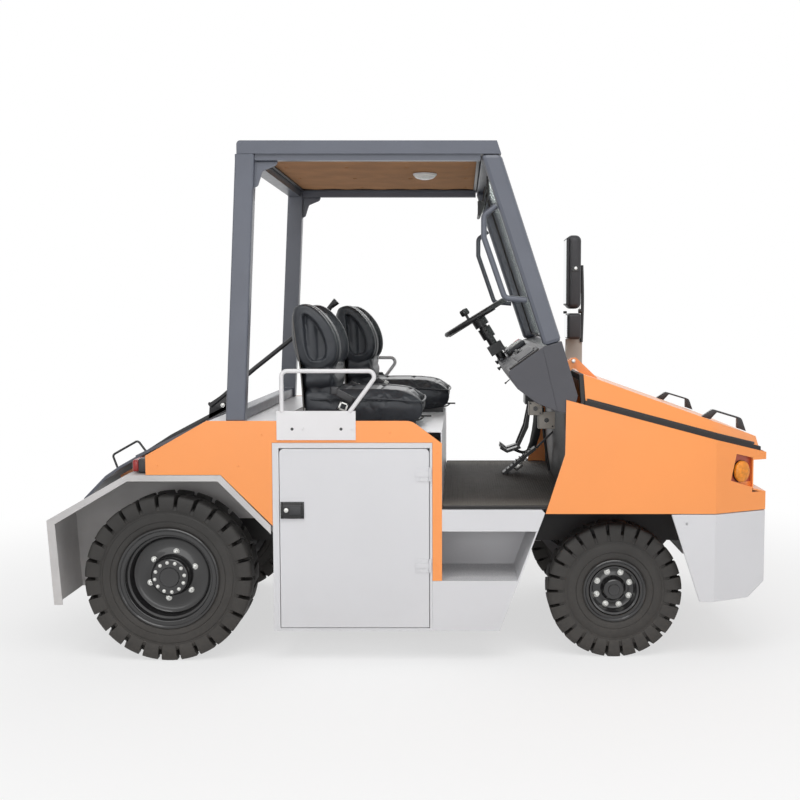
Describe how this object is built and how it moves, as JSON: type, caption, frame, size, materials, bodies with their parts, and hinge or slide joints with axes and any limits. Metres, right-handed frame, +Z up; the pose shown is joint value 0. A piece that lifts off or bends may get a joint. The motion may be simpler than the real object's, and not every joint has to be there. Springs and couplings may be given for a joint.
{
  "type": "airport baggage tug (two-seat tow tractor)",
  "caption": "Airport baggage tug: low tow tractor with orange body, canopy, side cabinets, seats side by side, lifting hood, steered front wheels and a rear hitch pin.",
  "frame": {"origin": "on the ground below the middle of the outline", "axes": "+X forward along the machine, +Y to the driver's left, +Z up"},
  "size_m": [3.064, 1.524, 2.194],
  "materials": {
    "orange_paint": "semi-gloss orange enamel",
    "grey_paint": "satin light grey enamel",
    "frame_paint": "satin blue-grey enamel",
    "black_paint": "satin black chassis paint",
    "silver_paint": "semi-gloss white-grey enamel",
    "seat_vinyl": "black grained vinyl",
    "rubber": "matt black rubber",
    "floor_rubber": "ribbed dark floor rubber",
    "tyre_rubber": "dusty black solid tyre",
    "black_plastic": "grained black plastic",
    "liner_fabric": "tan woven roof liner",
    "lamp_white": "frosted white lens",
    "lamp_red": "red lens",
    "lamp_amber": "amber lens",
    "lamp_clear": "clear lens over a bright reflector",
    "screen_glass": "faintly green laminated glass",
    "bright_steel": "bright zinc-plated steel",
    "cast_iron": "painted castings"
  },
  "bodies": {
    "chassis": {"rear_axle": "cast_iron", "front_axle": "cast_iron", "frame_rails": "black_paint", "engine_block": "cast_iron", "hitch_coupler": "black_paint", "floor_plate": "black_paint", "floor_mat": "floor_rubber", "side_steps": "grey_paint", "seat_box": "grey_paint", "cabinets": "grey_paint", "side_panels": "orange_paint", "rear_fenders": "grey_paint", "rear_deck": "frame_paint", "deck_frame": "orange_paint", "tail_lamps": "lamp_red", "grab_loop": "black_paint", "rear_posts": "frame_paint", "roof_frame": "frame_paint", "roof_liner": "liner_fabric", "dome_lamp": "lamp_white", "front_pillars": "frame_paint", "windscreen": "screen_glass", "pillar_rails": "frame_paint", "interior_mirror": "black_plastic", "dash_console": "frame_paint", "steering_column": "black_paint", "pedals": "black_paint", "seat_cushions": "seat_vinyl", "seat_backs": "seat_vinyl", "seat_slides": "black_paint", "armrests": "silver_paint", "release_lever": "black_paint", "nose_panels": "orange_paint", "turn_lamps": "lamp_amber", "head_lamps": "lamp_clear", "front_grille": "black_plastic", "front_bumper": "grey_paint", "hood_hinges": "orange_paint", "hood_seal": "rubber", "side_mirror": "black_plastic"},
    "hood_lid": {"hood": "orange_paint", "hood_handles": "black_plastic"},
    "steering_wheel_body": {"steering_wheel": "black_plastic"},
    "hitch_pin_body": {"hitch_pin": "bright_steel"},
    "rear_wheel_right": {"rear_tyre_right": "tyre_rubber", "rear_rim_right": "black_paint"},
    "steering_knuckle_right": {"front_knuckle_right": "cast_iron"},
    "front_wheel_right": {"front_tyre_right": "tyre_rubber", "front_rim_right": "black_paint"},
    "door_right": {"cabinet_door_right": "grey_paint"},
    "rear_wheel_left": {"rear_tyre_left": "tyre_rubber", "rear_rim_left": "black_paint"},
    "steering_knuckle_left": {"front_knuckle_left": "cast_iron"},
    "front_wheel_left": {"front_tyre_left": "tyre_rubber", "front_rim_left": "black_paint"},
    "door_left": {"cabinet_door_left": "grey_paint"}
  },
  "joints": [
    {"name": "rear_wheel_right_spin", "type": "hinge", "parent": "chassis", "child": "rear_wheel_right", "pos_m": [-1.032, -0.625, 0.356], "axis": [0, 1, 0], "continuous": true},
    {"name": "steer_right", "type": "hinge", "parent": "chassis", "child": "steering_knuckle_right", "pos_m": [0.88, -0.465, 0.29], "axis": [0, 0, 1], "range_deg": [-35, 35]},
    {"name": "front_wheel_right_spin", "type": "hinge", "parent": "steering_knuckle_right", "child": "front_wheel_right", "pos_m": [0.88, -0.59, 0.29], "axis": [0, 1, 0], "continuous": true},
    {"name": "door_right_swing", "type": "hinge", "parent": "chassis", "child": "door_right", "pos_m": [0.087, -0.756, 0.5], "axis": [0, 0, 1], "range_deg": [0, 110]},
    {"name": "rear_wheel_left_spin", "type": "hinge", "parent": "chassis", "child": "rear_wheel_left", "pos_m": [-1.032, 0.625, 0.356], "axis": [0, 1, 0], "continuous": true},
    {"name": "steer_left", "type": "hinge", "parent": "chassis", "child": "steering_knuckle_left", "pos_m": [0.88, 0.465, 0.29], "axis": [0, 0, 1], "range_deg": [-35, 35]},
    {"name": "front_wheel_left_spin", "type": "hinge", "parent": "steering_knuckle_left", "child": "front_wheel_left", "pos_m": [0.88, 0.59, 0.29], "axis": [0, 1, 0], "continuous": true},
    {"name": "door_left_swing", "type": "hinge", "parent": "chassis", "child": "door_left", "pos_m": [0.087, 0.756, 0.5], "axis": [0, 0, -1], "range_deg": [0, 110]},
    {"name": "steering_turn", "type": "hinge", "parent": "chassis", "child": "steering_wheel_body", "pos_m": [0.299, 0.375, 1.47], "axis": [-0.5255, 0, 0.8508], "range_deg": [-560, 560]},
    {"name": "hood_lift", "type": "hinge", "parent": "chassis", "child": "hood_lid", "pos_m": [0.715, 0, 1.275], "axis": [0, -1, 0], "range_deg": [0, 42]},
    {"name": "hitch_pin_lift", "type": "slide", "parent": "chassis", "child": "hitch_pin_body", "axis": [0, 0, 1], "range_m": [0, 0.128]}
  ],
  "couplings": [
    {"joint": "steer_left", "follows": "steer_right", "ratio": 1},
    {"joint": "steering_turn", "follows": "steer_right", "ratio": 16}
  ]
}
